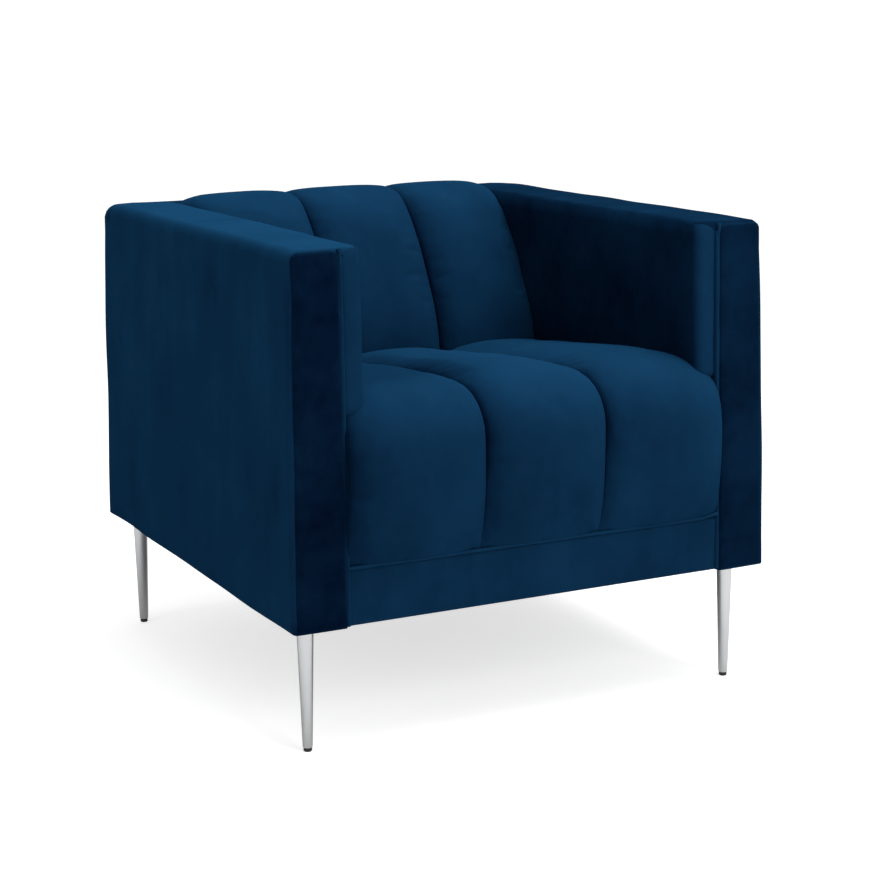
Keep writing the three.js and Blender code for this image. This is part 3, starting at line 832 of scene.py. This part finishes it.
# %% [markdown]
# ## Front band and piping
# A plain band closes the front under the seat. Sewing the piping to its upper edge gathers it
# slightly, which shows as small waves there. It is a soft box whose upper edge is pushed in and
# out by a noise along its length; a cloth simulation would add little on so narrow a strip.

# %% Front band
GATHER = 0.0016  # depth of the waves
GATHER_SCALE = 34


def front_band():
    lo = Vector((-INNER, band_lo.y, BOTTOM + 0.001))
    hi = Vector((INNER, band_hi.y, band_hi.z))
    bm = box_bm(lo, hi)
    round_edges(bm, [(0.0035, lambda m: True)], segments=4)
    slice_up(bm, step=0.008)
    swell(bm, lo, hi, amount=0.002, axis=1)
    for v in bm.verts:
        high = max(0.0, (v.co.z - lo.z) / (hi.z - lo.z)) ** 3
        v.co.y += GATHER * high * noise.noise(Vector((v.co.x * GATHER_SCALE, 0.0, 2.0)))
    return finish_piece("front_band_velvet", bm, VELVET["band"], ["front_band"])


front_band()

# %% [markdown]
# A thin piping of covered cord is sewn between the band and the seat. A curve with a round bevel
# would do, but a ring extruded from point to point gives a closed mesh at once. The cord wavers a
# little, and at one end it is drawn up into the seam of the arm front.

# %% Piping
def tube(points, radius, sides=12):
    """A round cord along a line of points that runs mostly along x."""
    bm = bmesh.new()
    start = Vector(points[0])
    turn = Matrix.Rotation(math.pi / 2, 4, "Y")
    ring = bmesh.ops.create_circle(
        bm, segments=sides, radius=radius, cap_ends=True, matrix=Matrix.Translation(start) @ turn
    )
    face = ring["verts"][0].link_faces[0]
    for previous, point in zip(points, points[1:]):
        grown = bmesh.ops.extrude_discrete_faces(bm, faces=[face])
        face = grown["faces"][0]
        bmesh.ops.translate(bm, verts=face.verts[:], vec=Vector(point) - Vector(previous))
    bmesh.ops.holes_fill(bm, edges=[e for e in bm.edges if e.is_boundary])
    return bm


CORD_RADIUS = 0.0026
CORD_STEPS = 120
CORD_WAVER = 0.0010
CORD_LIFT = 0.004  # how far its right end is drawn up, over the last tenth of half its length
piping_lo, piping_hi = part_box("seat_piping")
cord_height = (piping_lo.z + piping_hi.z) / 2 - 0.001
cord = []
for i in range(CORD_STEPS + 1):
    x = -INNER + 2 * INNER * i / CORD_STEPS
    waver = CORD_WAVER * noise.noise(Vector((x * 9, 4.0, 0.0)))
    lift = CORD_LIFT * max(0.0, x / INNER - 0.9) * 10
    cord.append((x, band_lo.y - 0.0012, cord_height + waver + lift))
finish_piece(
    "seat_piping_velvet", tube(cord, CORD_RADIUS), VELVET["piping"], ["seat_piping"]
)

# %% [markdown]
# ## Legs
# The legs are turned and plated steel, slim and tapered, each on a small black plastic foot. The
# CAD's legs have few sides, which would show as bands in the metal. So they are spun again here
# from the sizes of their nodes, with enough sides for smooth reflections.

# %% Spinning a profile
def spun(profile, centre, segments=64):
    bm = bmesh.new()
    verts = [bm.verts.new((centre[0] + r, centre[1], z)) for r, z in profile]
    edges = [bm.edges.new(pair) for pair in zip(verts, verts[1:])]
    bmesh.ops.spin(
        bm,
        geom=verts + edges,
        cent=(*centre, 0),
        axis=(0, 0, 1),
        angle=2 * math.pi,
        steps=segments,
        use_merge=True,
    )
    bmesh.ops.remove_doubles(bm, verts=bm.verts, dist=1e-6)
    return bm


# %% [markdown]
# Polished metal takes its looks from the room. All that it needs is a pale colour, full metalness
# and a low roughness, each broken up by a little wear, and a fine grain along the leg. The plain
# finish beside it serves the plastic, and below the wood, the foam and the cloths: two close
# shades in a noise, which can be stretched into grain or weave.

# %% Chrome and plastic
def chrome():
    material, tree, shader = new_material("leg_chrome")
    wear = noise_of(tree, scale=60.0, stretch=(1, 1, 0.2))
    colour = mix_colours(tree, wear, (0.60, 0.61, 0.62), (0.74, 0.745, 0.75))
    tree.links.new(colour, shader.inputs["Base Color"])
    shader.inputs["Metallic"].default_value = 1.0
    smear = math_node(tree, "ADD", math_node(tree, "MULTIPLY", wear, 0.10), 0.12)
    tree.links.new(smear, shader.inputs["Roughness"])
    bump(
        tree,
        shader,
        noise_of(tree, scale=900.0, stretch=(1, 1, 0.05)),
        strength=0.03,
        distance=0.0002,
    )
    return material


def plain(
    name, dark, light, scale, stretch=(1, 1, 1), roughness=0.7, metallic=0.0, depth=0.0003
):
    """A plain finish: two close shades in a noise that can be stretched into grain or weave."""
    material, tree, shader = new_material(name)
    grain = noise_of(tree, scale, stretch, detail=5.0)
    patches = noise_of(tree, scale=6.0)
    share = math_node(tree, "ADD", math_node(tree, "MULTIPLY", grain, 0.7), -0.15)
    share = math_node(tree, "ADD", share, math_node(tree, "MULTIPLY", patches, 0.5))
    tree.links.new(mix_colours(tree, share, dark, light), shader.inputs["Base Color"])
    shader.inputs["Roughness"].default_value = roughness
    shader.inputs["Metallic"].default_value = metallic
    bump(tree, shader, grain, strength=0.3, distance=depth)
    return material


CHROME = chrome()
PLASTIC = plain(
    "glide_plastic", (0.010, 0.011, 0.014), (0.03, 0.032, 0.036), scale=300.0, roughness=0.45
)
print("metal and plastic:", CHROME.name, PLASTIC.name)

# %% [markdown]
# A leg's profile is one straight taper between two radii, read from the boxes of the leg and of
# the foot. Its tip is rounded over the foot by about a millimetre, so that it has a fine bright
# edge. A sharp angle between faces stays sharp in the shading.

# %% Legs and feet
def leg_and_foot(end, side_name):
    lo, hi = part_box(f"leg_{end}_{side_name}")
    foot_lo, foot_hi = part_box(f"glide_{end}_{side_name}")
    centre = ((lo.x + hi.x) / 2, (lo.y + hi.y) / 2)
    top_r = (hi.x - lo.x) / 2
    foot_r = (foot_hi.x - foot_lo.x) / 2
    tip_r = foot_r + 0.001
    under = BOTTOM + 0.001
    profile = [
        (0.0, lo.z),
        (tip_r - 0.0012, lo.z),
        (tip_r - 0.0003, lo.z + 0.0005),
        (tip_r, lo.z + 0.0016),
        (top_r, under - 0.001),
        (top_r, under),
        (0.0, under),
    ]
    leg = finish_piece(
        f"leg_metal_{end}_{side_name}",
        spun(profile, centre),
        CHROME,
        [f"leg_{end}_{side_name}"],
    )
    profile = [(0.0, 0.0), (foot_r - 0.001, 0.0), (foot_r, 0.001), (foot_r, lo.z), (0.0, lo.z)]
    foot = finish_piece(
        f"foot_{end}_{side_name}",
        spun(profile, centre, 40),
        PLASTIC,
        [f"glide_{end}_{side_name}"],
    )
    for piece in (leg, foot):
        piece.data.set_sharp_from_angle(angle=math.radians(35))


for end in ("front", "rear"):
    for side_name in SIDES:
        leg_and_foot(end, side_name)

# %% [markdown]
# ## Hidden parts
# The frame, the springs, the foam and the cloths keep their CAD shapes, since they are flat boards,
# wires and blocks in reality too. Each gets the finish of its own material slot, because a
# cut-away view shows them.

# %% Finishes for the CAD nodes
FINISHES = {
    "frame_wood": plain(
        "frame_wood",
        (0.30, 0.16, 0.07), (0.55, 0.34, 0.17),
        scale=18.0, stretch=(1, 1, 0.12), roughness=0.75,
    ),
    "plywood": plain(
        "plywood",
        (0.42, 0.28, 0.14), (0.62, 0.45, 0.26),
        scale=14.0, stretch=(0.15, 1, 1), roughness=0.7,
    ),
    "hardboard": plain(
        "hardboard",
        (0.16, 0.09, 0.045), (0.28, 0.17, 0.09),
        scale=120.0, roughness=0.85,
    ),
    "spring_steel": plain(
        "spring_steel",
        (0.20, 0.21, 0.22), (0.34, 0.35, 0.36),
        scale=200.0, roughness=0.4, metallic=1.0,
    ),
    "foam": plain(
        "foam",
        (0.70, 0.60, 0.34), (0.84, 0.77, 0.50),
        scale=500.0, roughness=1.0, depth=0.001,
    ),
    "fibre": plain(
        "fibre",
        (0.78, 0.78, 0.76), (0.92, 0.92, 0.90),
        scale=240.0, stretch=(1, 0.2, 1), roughness=1.0,
    ),
    "felt": plain(
        "felt",
        (0.16, 0.155, 0.145), (0.27, 0.26, 0.25),
        scale=400.0, roughness=1.0,
    ),
    "webbing": plain(
        "webbing",
        (0.012, 0.012, 0.015), (0.05, 0.05, 0.055),
        scale=160.0, stretch=(0.1, 1, 6), roughness=0.95,
    ),
    "dust_cloth": plain(
        "dust_cloth",
        (0.004, 0.004, 0.005), (0.014, 0.014, 0.016),
        scale=700.0, roughness=1.0,
    ),
    "leg_chrome": CHROME,
    "glide_plastic": PLASTIC,
    "velvet": VELVET["outside"],
}
slot_of = {part["node"]: part["material_slot"] for part in frame["record"]["subparts"]}
for name, cad in frame["nodes"].items():
    for i in range(len(cad.data.materials)):
        cad.data.materials[i] = FINISHES[slot_of[name]]
print("dressed", len(frame["nodes"]), "CAD nodes")

# %% [markdown]
# ## Studio
# The chair stands on a white sheet in a white room. A real sheet would turn grey away from the
# lamps, so floor and world shine a little, for the camera only; the chair is lit by the world's
# plain share. The floor still catches a soft shadow.

# %% Floor and world
FLOOR_GLOW = 0.62
WORLD_LIGHT, WORLD_GLOW = 0.50, 0.55


def floor():
    bm = bmesh.new()
    bmesh.ops.create_grid(bm, x_segments=1, y_segments=1, size=14)
    mesh = bpy.data.meshes.new("floor")
    bm.to_mesh(mesh)
    bm.free()
    material, tree, shader = new_material("floor_paper")
    shader.inputs["Base Color"].default_value = (0.86, 0.86, 0.86, 1)
    shader.inputs["Roughness"].default_value = 1.0
    shader.inputs["Specular IOR Level"].default_value = 0.0
    path = tree.nodes.new("ShaderNodeLightPath")
    glow = math_node(tree, "MULTIPLY", path.outputs["Is Camera Ray"], FLOOR_GLOW)
    shader.inputs["Emission Color"].default_value = (1, 1, 1, 1)
    tree.links.new(glow, shader.inputs["Emission Strength"])
    mesh.materials.append(material)
    made = bpy.data.objects.new("floor", mesh)
    bpy.context.scene.collection.objects.link(made)


def world():
    made = bpy.data.worlds.new("studio")
    made.use_nodes = True
    bpy.context.scene.world = made
    tree = made.node_tree
    background = tree.nodes["Background"]
    background.inputs["Color"].default_value = (1, 1, 1, 1)
    path = tree.nodes.new("ShaderNodeLightPath")
    glow = math_node(tree, "MULTIPLY", path.outputs["Is Camera Ray"], WORLD_GLOW)
    tree.links.new(math_node(tree, "ADD", glow, WORLD_LIGHT), background.inputs["Strength"])


floor()
world()
print("floor and world in place")

# %% [markdown]
# Small lamps would draw hard edges on the velvet. Three large square panels give long soft
# gradients: the strongest above, for the tops of the arms and the seat, one ahead for the fronts,
# and a weak one at the left for the outside of the arm.

# %% Lamps
AIM = (0, 0, 0.4)  # the middle of the chair


def lamp(name, place, size, power):
    light = bpy.data.lights.new(name, "AREA")
    light.shape = "SQUARE"
    light.size = size
    light.energy = power
    made = bpy.data.objects.new(name, light)
    bpy.context.scene.collection.objects.link(made)
    made.location = place
    made.rotation_euler = (Vector(AIM) - Vector(place)).to_track_quat("-Z", "Y").to_euler()


lamp("top_panel", (0.6, -0.5, 3.2), size=2.0, power=62)
lamp("front_panel", (0.8, -3.6, 2.1), size=1.8, power=46)
lamp("left_panel", (-3.4, -0.6, 1.6), size=1.8, power=12)
print("lamps", [light.name for light in bpy.data.lights])

# %% [markdown]
# ## Camera
# A long lens keeps the chair's edges nearly parallel. It stands ahead and to the left, a little
# above the arms, and looks slightly down. The lens is shifted, as a studio camera's is, so that
# the chair sits in the middle without tipping the camera further.

# %% Camera
YAW, PITCH, TILT = (math.radians(angle) for angle in (26.57, -10.32, -0.67))
CAMERA_PLACE = (-1.3597, FRONT - 2.4064, 0.9869)
lens = bpy.data.cameras.new("camera")
lens.sensor_width = 36
lens.lens = 85.4
lens.shift_y = -0.064
camera = bpy.data.objects.new("camera", lens)
bpy.context.scene.collection.objects.link(camera)
turn = Matrix.Rotation(-YAW, 4, "Z") @ Matrix.Rotation(math.pi / 2 + PITCH, 4, "X")
turn = turn @ Matrix.Rotation(TILT, 4, "Z")
camera.matrix_world = Matrix.Translation(CAMERA_PLACE) @ turn
bpy.context.scene.camera = camera
bpy.context.scene.view_settings.view_transform = "Standard"
print("camera at", [round(c, 3) for c in camera.matrix_world.translation])
